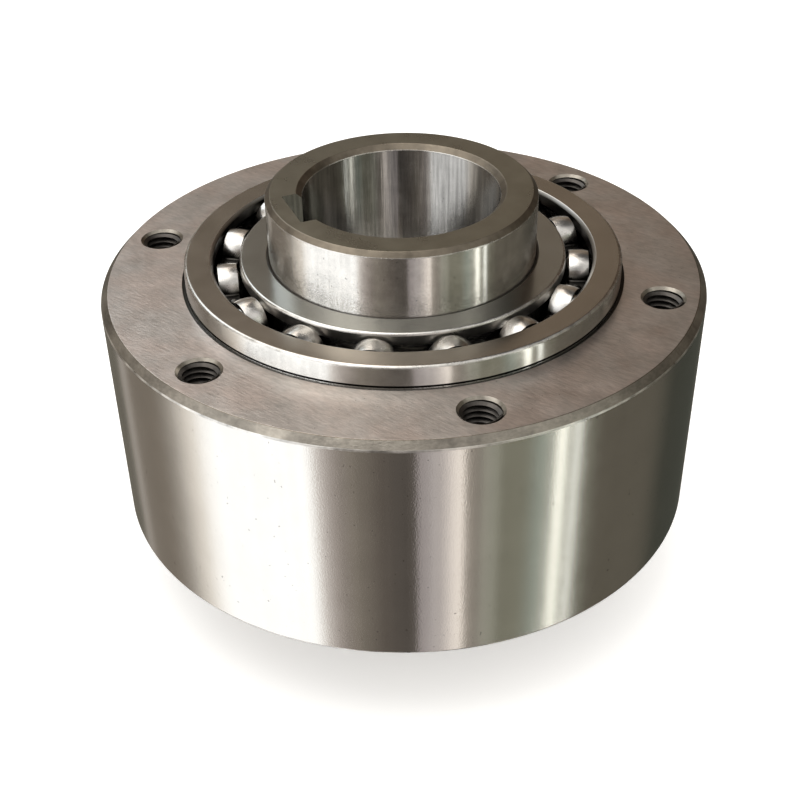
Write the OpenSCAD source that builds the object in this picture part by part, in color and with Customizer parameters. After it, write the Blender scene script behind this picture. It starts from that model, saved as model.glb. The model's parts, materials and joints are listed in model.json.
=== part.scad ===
// Sprag clutch with its own bearings: a keyed hub runs free one way inside a bolted outer race
// and is gripped the other way by a ring of tilting sprags.
// Z is the shaft axis. The origin is on it, halfway along the clutch, and both ends are alike.
// Seen from above, the hub runs free counter-clockwise and grips clockwise.

/* [Outer race] */
// Outside diameter of the outer race
race_d = 125; // [123:0.5:140]
// Width of the outer race, from one bolting face to the other
race_w = 52; // [50:0.5:64]
// Chamfer on the outer race's outside edges
race_edge = 1.5; // [0.5:0.1:2.5]
// Lead-in chamfer at the mouth of a bearing seat
seat_edge = 0.5; // [0.2:0.1:1]

/* [Face holes] */
// Tapped holes in each bolting face; the lower ones lie midway between the upper ones
bolt_count = 6; // [3:1:8]
// Diameter of the circle that the tapped holes lie on
bolt_circle = 108; // [106:0.5:110]
// Nominal thread diameter of a tapped hole
thread_d = 8; // [5:0.5:9]
// Depth of the thread
thread_depth = 16; // [8:0.5:18]
// Wall of metal that the thread stands out from, between nominal and drilled radius
thread_height = 0.65; // [0.3:0.05:0.9]
// Length of plain drilled hole below the thread
drill_run_out = 4; // [1:0.5:6]
// Chamfer at the mouth of a tapped hole
hole_edge = 0.55; // [0.2:0.05:0.8]

/* [Hub] */
// Length of hub that stands out of each bolting face
hub_stands_out = 18; // [12:0.5:30]
// Bore for the shaft
bore_d = 40; // [30:0.5:45]
// Width of the keyway in the bore
key_w = 12; // [8:0.5:14]
// Depth of the keyway, from the bore's wall
key_depth = 3.3; // [2:0.1:4]
// Direction of the keyway, counter-clockwise from the X axis
key_angle = 217; // [0:1:360]
// Chamfer on the outside edges of the hub's ends
hub_edge = 1; // [0.3:0.1:1.5]
// Chamfer on the edges of the bore
bore_edge = 0.7; // [0.3:0.1:1.2]

/* [Ball bearings] */
// Bore of a bearing, and so diameter of the hub's seats and ends
bearing_bore = 55; // [52:0.5:58]
// Radial thickness of a bearing, from its bore to its outside
bearing_section = 17.5; // [15.5:0.25:19.5]
// Width of a bearing
bearing_w = 11; // [10.6:0.1:13]
// Height that a bearing stands proud of the bolting face
bearing_proud = 4.5; // [3:0.1:6]
// Diameter of a ball
ball_d = 7.94; // [7:0.01:8.5]
// Balls in a bearing
ball_count = 15; // [10:1:16]
// Radial distance from the balls' pitch circle to the outer ring's land
outer_land_gap = 2.85; // [2.5:0.05:3.2]
// Radial distance from the balls' pitch circle to the inner ring's land
inner_land_gap = 2.65; // [2.5:0.05:2.9]
// Radius on the corners that seat in the race and on the hub
ring_corner = 0.8; // [0.3:0.1:1.2]
// Chamfer on the outer ring's inside edges
outer_land_edge = 0.6; // [0.2:0.1:0.8]
// Chamfer on the inner ring's outside edges
inner_land_edge = 0.3; // [0.1:0.1:0.5]

/* [Ball cages] */
// Thickness of a ball cage's sheet steel
cage_sheet = 0.9; // [0.6:0.05:1]
// Radial width of a ball cage
cage_band = 3.8; // [3.2:0.1:4.2]
// Gap between a ball and its cup
cup_gap = 0.12; // [0.08:0.01:0.2]
// Diameter of a cage rivet's shank
rivet_d = 1.5; // [1:0.1:2]
// Diameter of a cage rivet's head
rivet_head_d = 2.5; // [2.2:0.1:3]
// Height of a cage rivet's head
rivet_head_h = 0.55; // [0.3:0.05:0.8]

/* [Sprags] */
// Radial gap between the two tracks that the sprags bridge
sprag_gap = 8.33; // [8:0.01:8.5]
// Sprags in the ring
sprag_count = 26; // [20:1:26]
// Width of a sprag across its two heads
sprag_head = 5.4; // [5:0.1:5.6]
// Width of a sprag at its waist
sprag_waist = 3.3; // [3:0.1:3.6]
// Radius of the hollow on each side of a sprag
sprag_hollow = 2; // [1.8:0.1:2.2]
// Sideways offset of each head's arc from the sprag's middle, which makes it grow as it tilts
cam_offset = 0.5; // [0.3:0.05:0.6]
// Radial offset of each head's arc past the sprag's middle
cam_overlap = 0.45; // [0.3:0.05:0.6]

/* [Sprag cages] */
// Radial thickness of both sprag cages
retainer_t = 1.1; // [0.8:0.1:1.2]
// Radial distance from the sprags' middle to the middle of each sprag cage
retainer_offset = 2.1; // [2:0.05:2.3]
// Width of the rim at each end of a sprag cage, past the windows
retainer_rim = 2.75; // [2:0.05:5]
// Thickness of a side plate
side_plate_t = 1; // [0.6:0.1:1.2]

/* [Ribbon spring] */
// Radial thickness of the ribbon spring
ribbon_t = 0.3; // [0.2:0.05:0.4]
// Width of the rim at each end of the ribbon spring, past the windows
ribbon_rim = 1.4; // [0.8:0.1:2]
// Gap between a sprag's waist and its window in the ribbon spring
ribbon_waist_gap = 0.35; // [0.25:0.05:0.45]
// Thickness of the tongue that leans on a sprag
tongue_t = 0.25; // [0.15:0.05:0.35]
// Height of a tongue, from the middle of the ribbon
tongue_rise = 1.25; // [0.8:0.05:1.4]
// Length of a tongue along the axis
tongue_len = 8; // [4:0.5:20]
// Angle at which a tongue leans towards its sprag
tongue_lean = 4; // [0:0.5:6]

/* [Drag clips] */
// Drag clips at each end of the outer sprag cage
clip_count = 4; // [2:1:6]
// Thickness of a drag clip's spring sheet
clip_t = 0.3; // [0.2:0.05:0.35]
// Length of a drag clip's bowed leaf, round the cage
clip_chord = 8; // [6:0.5:8.5]
// Width of the leg that hooks a drag clip into the cage's end
clip_leg_w = 3; // [2:0.1:4]
// Reach of the leg past the inside of the cage
clip_hook = 0.8; // [0.3:0.1:1]

/* [Clearances] */
// Radial gap of the bearing rings on their seats
seat_fit = 0.01; // [0.01:0.005:0.03]
// Radial gap between a ball and its groove
ball_play = 0.06; // [0.06:0.005:0.09]
// Radial gap of a sprag to each track while the clutch runs free
sprag_play = 0.08; // [0.07:0.005:0.1]
// Gap between a sprag and the walls of its cage window
window_gap = 0.15; // [0.12:0.01:0.25]
// End gap of the sprag cages to the side plates
end_gap = 0.3; // [0.3:0.05:0.6]
// Radial gap between a rivet and its hole
rivet_fit = 0.02; // [0.01:0.01:0.05]
// Radial gap between a side plate and the track that it seats in
plate_fit = 0.03; // [0.01:0.01:0.06]
// Radial gap between a side plate and the bearing's inner ring
plate_bore_gap = 0.5; // [0.3:0.1:0.8]
// Gap of a drag clip's leaf to the track, before the clutch turns
clip_race_gap = 0.13; // [0.1:0.01:0.2]
// Gap between the ends of a drag clip's leaf and the cage
clip_foot_gap = 0.03; // [0.02:0.01:0.06]

/* [Hidden] */
$fn = 96;

race_r = race_d / 2;
face_z = race_w / 2;
hub_end_z = face_z + hub_stands_out;
bore_r = bore_d / 2;
hub_r = bearing_bore / 2;
seat_r = hub_r + bearing_section;

// Bearings: outboard face, middle plane and inboard face, which seats on both shoulders
bearing_out_z = face_z + bearing_proud;
bearing_mid_z = bearing_out_z - bearing_w / 2;
shoulder_z = bearing_out_z - bearing_w;
pitch_r = (hub_r + seat_r) / 2;
ball_r = ball_d / 2;
outer_land_r = pitch_r + outer_land_gap;
inner_land_r = pitch_r - inner_land_gap;
// Groove radius, as a share of the ball, that such bearings have
groove_r = 0.52 * ball_d;
outer_groove_r = pitch_r + ball_r + ball_play - groove_r;
inner_groove_r = pitch_r - ball_r - ball_play + groove_r;
ball_step = 360 / ball_count;
first_ball_angle = ball_step / 2;
cup_in_r = ball_r + cup_gap;
cup_out_r = cup_in_r + cage_sheet;

// Tracks, on both sides of the balls' pitch circle, so that both have a shoulder for a bearing ring
sprag_r = pitch_r;
inner_track_r = sprag_r - sprag_gap / 2;
outer_track_r = sprag_r + sprag_gap / 2;
sprag_step = 360 / sprag_count;
// Radius of each head's arc, so that it clears its track by sprag_play
outer_cam_r = outer_track_r - sprag_play - norm([sprag_r - cam_overlap, cam_offset]);
inner_cam_r = norm([sprag_r + cam_overlap, cam_offset]) - inner_track_r - sprag_play;

plate_z = shoulder_z - side_plate_t;
retainer_end_z = plate_z - end_gap;
window_len = 2 * (retainer_end_z - retainer_rim);
sprag_len = window_len - 2 * window_gap;
outer_retainer_r = sprag_r + retainer_offset;
inner_retainer_r = sprag_r - retainer_offset;

// Ribbon spring: windows round the sprags' waists, and a tongue beside each sprag
ribbon_window_len = window_len + 2 * window_gap;
ribbon_w = ribbon_window_len + 2 * ribbon_rim;
tongue_x = sprag_head / 2;

// Drag clips: a leaf bowed from the cage out to the track, and a leg that hooks over the cage's end
clip_top_r = outer_track_r - clip_race_gap;
clip_foot_y = sqrt(pow(outer_retainer_r + retainer_t / 2, 2) - pow(clip_chord / 2, 2)) + clip_foot_gap;
clip_rise = clip_top_r - clip_t - clip_foot_y;
clip_bow_r = (pow(clip_chord / 2, 2) + pow(clip_rise, 2)) / (2 * clip_rise) + clip_t;
clip_bow_y = clip_top_r - clip_bow_r;
clip_notch_depth = 2 * clip_t;
clip_w = retainer_rim - clip_notch_depth;
clip_z = retainer_end_z - clip_notch_depth - clip_w / 2;

// Angle of a drill's tip
drill_tip_angle = 118;
// Overshoot of cutting shapes past the faces that they open
past = 1;

function sprag_name(i) = str("sprag_", i < 10 ? "0" : "", i);

// Closes an outline of [radius, height] points, given for the upper half, with its mirror image
function both_halves(upper) =
    concat(upper, [for (i = [len(upper) - 1:-1:0]) [upper[i][0], -upper[i][1]]]);

module tube(outer, inner, height) {
    difference() {
        cylinder(r = outer, h = height);
        translate([0, 0, -past])
            cylinder(r = inner, h = height + 2 * past);
    }
}

// Places children above, or as a mirror image below, the middle of the clutch
module at_end(upper) {
    mirror([0, 0, upper ? 0 : 1])
        children();
}

// One tapped hole: mouth chamfer on z = 0, thread, plain drilled run-out and the drill's tip
module tapped_hole() {
    thread_r = thread_d / 2;
    drill_r = thread_r - thread_height;
    drill_depth = thread_depth + drill_run_out;
    tip_h = drill_r / tan(drill_tip_angle / 2);
    rotate_extrude()
        polygon([
            [0, past],
            [thread_r + hole_edge + past, past],
            [thread_r, -hole_edge],
            [thread_r, -thread_depth],
            [drill_r, -thread_depth],
            [drill_r, -drill_depth],
            [0, -drill_depth - tip_h]
        ]);
}

module outer_race() {
    outline = both_halves([
        [outer_track_r, shoulder_z],
        [seat_r + seat_fit, shoulder_z],
        [seat_r + seat_fit, face_z - seat_edge],
        [seat_r + seat_fit + seat_edge, face_z],
        [race_r - race_edge, face_z],
        [race_r, face_z - race_edge]
    ]);
    color("lightgray")
        difference() {
            rotate_extrude()
                polygon(outline);
            for (upper = [true, false], i = [0:bolt_count - 1])
                at_end(upper)
                    rotate([0, 0, (i + (upper ? 0 : 0.5)) * 360 / bolt_count])
                        translate([bolt_circle / 2, 0, face_z])
                            tapped_hole();
        }
}

module inner_race() {
    outline = both_halves([
        [bore_r, hub_end_z - bore_edge],
        [bore_r + bore_edge, hub_end_z],
        [hub_r - hub_edge, hub_end_z],
        [hub_r, hub_end_z - hub_edge],
        [hub_r, shoulder_z],
        [inner_track_r, shoulder_z]
    ]);
    color("silver")
        difference() {
            rotate_extrude()
                polygon(outline);
            rotate([0, 0, key_angle])
                translate([0, -key_w / 2, -hub_end_z - past])
                    cube([bore_r + key_depth, key_w, 2 * (hub_end_z + past)]);
        }
}

// What a corner loses when it is rounded: the arc's middle is the origin, the corner is up and right
module corner_waste() {
    difference() {
        square(ring_corner + past);
        circle(r = ring_corner);
    }
}

module outer_ring_section() {
    outline = both_halves([
        [outer_land_r, bearing_w / 2 - outer_land_edge],
        [outer_land_r + outer_land_edge, bearing_w / 2],
        [seat_r, bearing_w / 2]
    ]);
    difference() {
        polygon(outline);
        translate([outer_groove_r, 0])
            circle(r = groove_r);
        for (flip = [0, 1])
            mirror([0, flip])
                translate([seat_r - ring_corner, bearing_w / 2 - ring_corner])
                    corner_waste();
    }
}

module inner_ring_section() {
    outline = both_halves([
        [hub_r + seat_fit, bearing_w / 2],
        [inner_land_r - inner_land_edge, bearing_w / 2],
        [inner_land_r, bearing_w / 2 - inner_land_edge]
    ]);
    difference() {
        polygon(outline);
        translate([inner_groove_r, 0])
            circle(r = groove_r);
        for (flip = [0, 1])
            mirror([0, flip])
                translate([hub_r + seat_fit + ring_corner, bearing_w / 2 - ring_corner])
                    mirror([1, 0])
                        corner_waste();
    }
}

module bearing_outer_ring(upper) {
    color("tan")
        at_end(upper)
            translate([0, 0, bearing_mid_z])
                rotate_extrude()
                    outer_ring_section();
}

module bearing_inner_ring(upper) {
    color("gray")
        at_end(upper)
            translate([0, 0, bearing_mid_z])
                rotate_extrude()
                    inner_ring_section();
}

// Places children at each ball's middle
module at_balls() {
    for (i = [0:ball_count - 1])
        rotate([0, 0, first_ball_angle + i * ball_step])
            translate([pitch_r, 0, 0])
                children();
}

// Places children midway between neighbouring balls
module at_rivets() {
    rotate([0, 0, ball_step / 2])
        at_balls()
            children();
}

module bearing_balls(upper) {
    color("white")
        at_end(upper)
            translate([0, 0, bearing_mid_z])
                at_balls()
                    sphere(r = ball_r);
}

// Half of a pressed ribbon cage: flats on the middle plane, a cup over each ball, all cut to one band
module ball_cage_half() {
    difference() {
        intersection() {
            tube(pitch_r + cage_band / 2, pitch_r - cage_band / 2, cup_out_r + past);
            union() {
                cylinder(r = pitch_r + cage_band, h = cage_sheet);
                at_balls()
                    sphere(r = cup_out_r);
            }
        }
        at_balls()
            sphere(r = cup_in_r);
        at_rivets()
            translate([0, 0, -past])
                cylinder(d = rivet_d + 2 * rivet_fit, h = cage_sheet + 2 * past);
    }
}

module bearing_cage_outboard(upper) {
    color("gainsboro")
        at_end(upper)
            translate([0, 0, bearing_mid_z])
                ball_cage_half();
}

module bearing_cage_inboard(upper) {
    color("gainsboro")
        at_end(upper)
            translate([0, 0, bearing_mid_z])
                mirror([0, 0, 1])
                    ball_cage_half();
}

// A rivet's domed head, standing on z = 0
module rivet_head() {
    dome_r = (pow(rivet_head_d / 2, 2) + pow(rivet_head_h, 2)) / (2 * rivet_head_h);
    intersection() {
        translate([0, 0, rivet_head_h - dome_r])
            sphere(r = dome_r);
        cylinder(d = rivet_head_d + past, h = rivet_head_h + past);
    }
}

module bearing_cage_rivets(upper) {
    color("silver")
        at_end(upper)
            translate([0, 0, bearing_mid_z])
                at_rivets()
                    for (flip = [0, 1])
                        mirror([0, 0, flip])
                            union() {
                                cylinder(d = rivet_d, h = cage_sheet);
                                translate([0, 0, cage_sheet])
                                    rivet_head();
                            }
}

// Washer between a bearing's outer ring and the sprag cages
module side_plate(upper) {
    color("darkgray")
        at_end(upper)
            translate([0, 0, plate_z])
                tube(outer_track_r - plate_fit, inner_land_r + plate_bore_gap, side_plate_t);
}

// Places children at a sprag's middle: X along the ring, clockwise, and Y away from the axis
module at_sprag(i) {
    rotate([0, 0, (i - 1) * sprag_step - 90])
        translate([0, sprag_r, 0])
            children();
}

// One sprag: two heads, each with an arc whose middle is off to one side, and a waist between them
module sprag(i) {
    hollow_x = sprag_waist / 2 + sprag_hollow;
    color("lightsteelblue")
        at_sprag(i)
            translate([0, 0, -sprag_len / 2])
                linear_extrude(sprag_len)
                    difference() {
                        intersection() {
                            translate([cam_offset, -cam_overlap])
                                circle(r = outer_cam_r);
                            translate([-cam_offset, cam_overlap])
                                circle(r = inner_cam_r);
                            square([sprag_head, 2 * sprag_gap], center = true);
                        }
                        for (side = [-1, 1])
                            translate([side * hollow_x, 0])
                                circle(r = sprag_hollow);
                    }
}

// Window through a ring at every sprag, of the given width and length
module windows(width, length) {
    for (i = [1:sprag_count])
        at_sprag(i)
            cube([width, sprag_gap, length], center = true);
}

// Sheet steel ring with a window round every sprag
module retainer(radius) {
    difference() {
        translate([0, 0, -retainer_end_z])
            tube(radius + retainer_t / 2, radius - retainer_t / 2, 2 * retainer_end_z);
        windows(sprag_head + 2 * window_gap, window_len);
    }
}

// Places children at each drag clip: Y away from the axis, at both ends of the cage, between two windows
module at_clips() {
    for (upper = [true, false], i = [0:clip_count - 1])
        at_end(upper)
            rotate([0, 0, (floor(i * sprag_count / clip_count) + 0.5) * sprag_step - 90])
                children();
}

// What a drag clip's leg takes out of the cage's end
module clip_notch() {
    notch_w = clip_leg_w + 2 * window_gap;
    translate([-notch_w / 2, outer_retainer_r - retainer_t, retainer_end_z - clip_notch_depth])
        cube([notch_w, 2 * retainer_t, clip_notch_depth + past]);
}

module sprag_outer_cage() {
    color("goldenrod")
        difference() {
            retainer(outer_retainer_r);
            at_clips()
                clip_notch();
        }
}

module sprag_inner_cage() {
    color("goldenrod")
        retainer(inner_retainer_r);
}

// Thin spring band round the sprags' waists, with a tongue at each sprag that tilts it into contact
module ribbon_spring() {
    color("slategray")
        union() {
            difference() {
                translate([0, 0, -ribbon_w / 2])
                    tube(sprag_r + ribbon_t / 2, sprag_r - ribbon_t / 2, ribbon_w);
                windows(sprag_waist + 2 * ribbon_waist_gap, ribbon_window_len);
            }
            for (i = [1:sprag_count])
                at_sprag(i)
                    translate([tongue_x, -ribbon_t / 2, 0])
                        rotate([0, 0, tongue_lean])
                            translate([-tongue_t / 2, 0, -tongue_len / 2])
                                cube([tongue_t, tongue_rise + ribbon_t / 2, tongue_len]);
        }
}

// One drag clip: a leaf bowed out towards the track, with a leg that hooks into the cage's end
module drag_clip() {
    hook_r = outer_retainer_r - retainer_t / 2 - clip_hook;
    union() {
        intersection() {
            translate([0, clip_bow_y, clip_z - clip_w / 2])
                tube(clip_bow_r, clip_bow_r - clip_t, clip_w);
            translate([-clip_chord / 2, clip_bow_y, clip_z - clip_w])
                cube([clip_chord, 2 * clip_bow_r, 2 * clip_w]);
        }
        translate([-clip_leg_w / 2, clip_top_r - 2 * clip_t, clip_z])
            cube([clip_leg_w, clip_t, retainer_end_z - clip_z]);
        translate([-clip_leg_w / 2, hook_r, retainer_end_z - clip_t])
            cube([clip_leg_w, clip_top_r - clip_t - hook_r, clip_t]);
    }
}

module drag_clips() {
    color("steelblue")
        at_clips()
            drag_clip();
}

outer_race();
inner_race();
bearing_outer_ring(true);  // upper_bearing_outer_ring
bearing_inner_ring(true);  // upper_bearing_inner_ring
bearing_balls(true);  // upper_bearing_balls
bearing_cage_outboard(true);  // upper_bearing_cage_outboard
bearing_cage_inboard(true);  // upper_bearing_cage_inboard
bearing_cage_rivets(true);  // upper_bearing_cage_rivets
bearing_outer_ring(false);  // lower_bearing_outer_ring
bearing_inner_ring(false);  // lower_bearing_inner_ring
bearing_balls(false);  // lower_bearing_balls
bearing_cage_outboard(false);  // lower_bearing_cage_outboard
bearing_cage_inboard(false);  // lower_bearing_cage_inboard
bearing_cage_rivets(false);  // lower_bearing_cage_rivets
side_plate(true);  // upper_side_plate
side_plate(false);  // lower_side_plate
sprag_outer_cage();
sprag_inner_cage();
ribbon_spring();
drag_clips();
for (i = [1:sprag_count])
    sprag(i);
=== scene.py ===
"""Looks of a sprag clutch with its own ball bearings: ground steel, tapped holes, pressed ball cages and a soft studio.

Lengths are in metres. Z is the shaft axis and the origin is halfway along the clutch.
"""

import json
from math import acos, atan2, cos, hypot, pi, prod, radians, sin, sqrt

import bpy
from bpy.props import FloatProperty, FloatVectorProperty, PointerProperty
from bpy.types import NodeSocket, Operator, Panel, PropertyGroup, Scene
from mathutils import Matrix, Vector


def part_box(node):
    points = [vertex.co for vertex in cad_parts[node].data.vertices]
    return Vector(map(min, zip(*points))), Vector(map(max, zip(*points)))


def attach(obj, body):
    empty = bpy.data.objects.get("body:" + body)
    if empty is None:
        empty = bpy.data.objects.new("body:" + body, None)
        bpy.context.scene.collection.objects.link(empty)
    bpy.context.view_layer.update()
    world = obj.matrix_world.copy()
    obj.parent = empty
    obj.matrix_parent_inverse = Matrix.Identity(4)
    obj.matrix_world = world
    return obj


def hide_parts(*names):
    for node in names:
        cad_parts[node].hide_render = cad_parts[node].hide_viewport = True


bl_info = {
    "name": "Sprag Clutch",
    "version": (1, 0, 0),
    "blender": (4, 5, 0),
    "location": "View3D > Sidebar > Clutch",
    "description": "Models and finishes a sprag clutch on its packed solids",
    "category": "Object",
}

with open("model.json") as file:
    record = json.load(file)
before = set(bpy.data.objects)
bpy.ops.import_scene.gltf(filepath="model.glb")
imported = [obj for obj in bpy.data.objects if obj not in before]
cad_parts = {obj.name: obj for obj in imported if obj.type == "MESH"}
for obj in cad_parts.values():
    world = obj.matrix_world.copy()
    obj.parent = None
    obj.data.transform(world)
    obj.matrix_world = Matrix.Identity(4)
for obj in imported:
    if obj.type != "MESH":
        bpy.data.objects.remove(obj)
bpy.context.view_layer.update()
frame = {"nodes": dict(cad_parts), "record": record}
MOUNTS = {mount["name"]: mount for mount in frame["record"]["mounts"]}
RACE_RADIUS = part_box("outer_race")[1].x
FACE_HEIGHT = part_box("outer_race")[1].z
HUB_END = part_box("inner_race")[1].z
TRACK_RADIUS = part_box("inner_race")[1].x
RING_LOW, RING_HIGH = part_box("upper_bearing_outer_ring")
BEARING_MIDDLE = (RING_HIGH.z + RING_LOW.z) / 2
BORE_RADIUS = MOUNTS["shaft_bore"]["dims"]["r_mm"] / 1000
# The tapped holes: each one's name, its place in the face, and 1 for the upper face or -1 for the lower
HOLES = [(name, mount["pos_m"][:2], 1 if mount["axis"][2] > 0 else -1)
         for name, mount in MOUNTS.items() if "face_hole" in name]
HOLE_RADIUS = MOUNTS[HOLES[0][0]]["dims"]["r_mm"] / 1000
HOLE_CIRCLE = hypot(*HOLES[0][1])
BALL_COUNT = 15
BALL_PHASE = radians(12)
SAME_PLACE = 1e-6  # Points closer than this are one
SKIN = 1e-4  # Faces this close to a plane belong to it
CLEAR = 0.001  # How far a cutter stands out of what it cuts
# The share of Z in a face's normal: the least on an end face, the range on a 45 degree chamfer, and the most on a wall
FLAT, CHAMFER_HIGH, CHAMFER_LOW, WALL = 0.97, 0.75, 0.65, 0.03
# A piece of a CAD node's name, and the finish of such nodes; the first that fits holds
NODE_FINISHES = (
    ("cage_", "cage"), ("_balls", "ball"), ("sprag_outer_cage", "strip"), ("sprag_inner_cage", "strip"),
    ("ribbon_spring", "spring"), ("drag_clips", "spring"), ("side_plate", "washer"), ("_race", "ground"),
    ("_ring", "ring"), ("", "sprag"))
FINISH = {}


def linear(code):
    """An sRGB hex colour as the linear RGB that shaders and colour properties take."""
    parts = [int(code[i:i + 2], 16) / 255 for i in (1, 3, 5)]
    return [c / 12.92 if c <= 0.04045 else ((c + 0.055) / 1.055) ** 2.4 for c in parts]


def rgba(value):
    """A grey, an sRGB hex colour or a linear RGB as the linear RGBA that nodes take."""
    if isinstance(value, (int, float)):
        value = (value,) * 3
    elif isinstance(value, str):
        value = linear(value)
    return (*value, 1)


def length(name, default, description):
    """A length property in metres, which the panel shows in the scene's unit."""
    return FloatProperty(
        name=name, description=description, default=default, min=0, precision=5, subtype="DISTANCE", unit="LENGTH")


def angle(name, degrees, description):
    """An angle property, its default given in degrees."""
    return FloatProperty(name=name, description=description, default=radians(degrees), subtype="ANGLE")


def strength(name, default, description):
    """A property for how strong a light is."""
    return FloatProperty(name=name, description=description, default=default, min=0)


def colour(name, code, description):
    """A colour property whose default is an sRGB hex value."""
    return FloatVectorProperty(
        name=name, description=description, default=linear(code), size=3, min=0, max=1, subtype="COLOR")


class ClutchSizes(PropertyGroup):
    """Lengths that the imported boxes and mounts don't give."""

    race_chamfer: length("Race chamfer", 0.0015, "Chamfer on the outer race's outside edges")
    seat_chamfer: length("Seat chamfer", 0.0007, "Lead-in chamfer of a bearing seat")
    edge_break: length("Edge break", 0.00012, "Rounding that deburring leaves on a machined edge")
    outer_track: length("Outer track", 0.040415, "Radius of the track that the sprags grip in the outer race")
    hub_radius: length("Hub radius", 0.0275, "Radius of the hub where the bearings sit")
    hub_chamfer: length("Hub chamfer", 0.001, "Chamfer on the outside of the hub's ends")
    bore_chamfer: length("Bore chamfer", 0.0011, "Chamfer on the edges of the shaft bore")
    keyway_width: length("Keyway width", 0.012, "Width of the keyway")
    keyway_depth: length("Keyway depth", 0.0033, "Depth of the keyway from the bore's wall")
    keyway_corner: length("Keyway corner", 0.0003, "Radius in the corners of the keyway's floor")
    hole_chamfer: length("Hole chamfer", 0.00055, "Chamfer at the mouth of a tapped hole")
    thread_pitch: length("Thread pitch", 0.00125, "Pitch of the thread in the face holes")
    thread_height: length("Thread height", 0.00065, "Height of the thread above its root")
    thread_depth: length("Thread depth", 0.016, "Depth of the tapped part of a hole")
    drill_depth: length("Drill depth", 0.020, "Depth of the drilled hole up to its tip")
    ball_radius: length("Ball radius", 0.00397, "Radius of a bearing ball")
    ball_play: length("Ball play", 0.00006, "Radial gap between a ball and its groove")
    cage_band: length("Cage band", 0.0038, "Width of the cage's sheet across the gap")
    cage_sheet: length("Cage sheet", 0.0009, "Thickness of the cage's sheet")
    pocket_play: length("Pocket play", 0.00012, "Gap of a ball in its pocket")
    pocket_fillet: length("Pocket fillet", 0.0006, "Rounding at the foot of a pocket")
    outer_land: length("Outer land", 0.0391, "Radius of the outer ring's land")
    land_chamfer: length("Land chamfer", 0.0006, "Chamfer on the inner edge of the outer ring")
    inner_land: length("Inner land", 0.0336, "Radius of the inner ring's land")
    lip: length("Inner ring lip", 0.00065, "Radius on the inner ring's outer corner")
    # The foot line is painted shade: a dark band for the shade of the gap at the outer ring's foot
    foot_shade_line: length("Foot line", 0.00045, "Height of the painted shade line at the outer ring's foot")
    seat_gap: length("Seat gap", 0.00001, "Radial gap of a bearing ring on its seat")
    ring_corner: length("Ring corner", 0.0008, "Radius on the corners of a bearing ring that seat")


class ClutchFinishes(PropertyGroup):
    """Colours of the steels."""

    ground: colour("Ground steel", "#c3bfb8", "Cylindrically ground race and hub")
    face: colour("Ground face", "#bdb6b0", "Surface-ground face of the outer race")
    turned: colour("Turned steel", "#958e83", "Turned chamfers")
    bore: colour("Honed bore", "#928f8a", "Wall of the shaft bore")
    worn: colour("Worn chamfer", "#746b5e", "Chamfers of the hub")
    # The tapped steel's dark tone is painted shade, in the holes and at the inner rings' bores
    thread: colour("Tapped steel", "#4e4a46", "Walls and threads of the tapped holes")
    hub_end: colour("Hub end", "#868275", "Faced ends of the hub")
    ring: colour("Ring face", "#9f978c", "Faces of the outer bearing rings")
    inner_ring: colour("Inner ring face", "#9b9a94", "Faces of the inner bearing rings")
    ball: colour("Ball steel", "#c9c7c3", "Bearing balls")
    cage: colour("Cage steel", "#c4c0ba", "Pressed ball cages and their rivets")
    strip: colour("Punched strip", "#8d8984", "Sprag cages")
    spring: colour("Spring steel", "#4d4f5c", "Ribbon spring and drag clips")
    washer: colour("Washer steel", "#96938d", "Side plates")
    sprag: colour("Sprag steel", "#8b8885", "Sprags")


class ClutchStudio(PropertyGroup):
    """Camera, floor and light."""

    lens: FloatProperty(
        name="Lens", description="Focal length of the camera", default=62.148, min=10, unit="CAMERA")
    camera_azimuth: angle("Camera azimuth", 16.41, "Heading of the camera from the Y axis")
    camera_pitch: angle("Camera pitch", 38.27, "Angle that the camera looks down")
    camera_roll: angle("Camera roll", -1.525, "Turn of the camera about its view")
    camera_place: FloatVectorProperty(
        name="Camera place", description="Where the camera stands", default=(0.06730, -0.24576, 0.16793), size=3,
        subtype="TRANSLATION")
    room_turn: angle("Room turn", 16.1, "Turn of the studio's walls and windows about the clutch")
    room_light: strength("Room light", 2.4, "Brightness of the studio's windows")
    softbox_size: length("Softbox size", 0.9, "Side of the square light overhead")
    softbox_power: FloatProperty(
        name="Softbox power", description="Power of the square light overhead", default=3.5, min=0, unit="POWER")
    floor_size: length("Floor size", 6.0, "Side of the square floor")
    floor_light: strength("Floor light", 1.15, "Brightness of the even light on the floor")
    floor_glow: strength("Floor glow", 0.45, "Light that the floor gives off itself")
    floor: colour("Floor", "#f4f3f1", "Pale floor")


def leave_all():
    """Deselects everything in object mode."""
    if bpy.context.object and bpy.context.object.mode != "OBJECT":
        bpy.ops.object.mode_set(mode="OBJECT")
    bpy.ops.object.select_all(action="DESELECT")


def take(piece):
    """Makes a piece the only selected and active one."""
    leave_all()
    piece.select_set(True)
    bpy.context.view_layer.objects.active = piece


def open_all(piece):
    """Enters edit mode with the whole piece selected."""
    take(piece)
    bpy.ops.object.mode_set(mode="EDIT")
    bpy.ops.mesh.select_all(action="SELECT")


def pick(piece, mode, test):
    """Enters edit mode with the vertices or faces selected whose place, and normal for a face, pass the test."""
    take(piece)
    bpy.ops.object.mode_set(mode="EDIT")
    bpy.ops.mesh.select_mode(type=mode)
    bpy.ops.mesh.select_all(action="DESELECT")
    bpy.ops.object.mode_set(mode="OBJECT")
    if mode == "FACE":
        for face in piece.data.polygons:
            face.select = test(face.center, face.normal)
    else:
        for vertex in piece.data.vertices:
            vertex.select = test(vertex.co)
    bpy.ops.object.mode_set(mode="EDIT")


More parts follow.
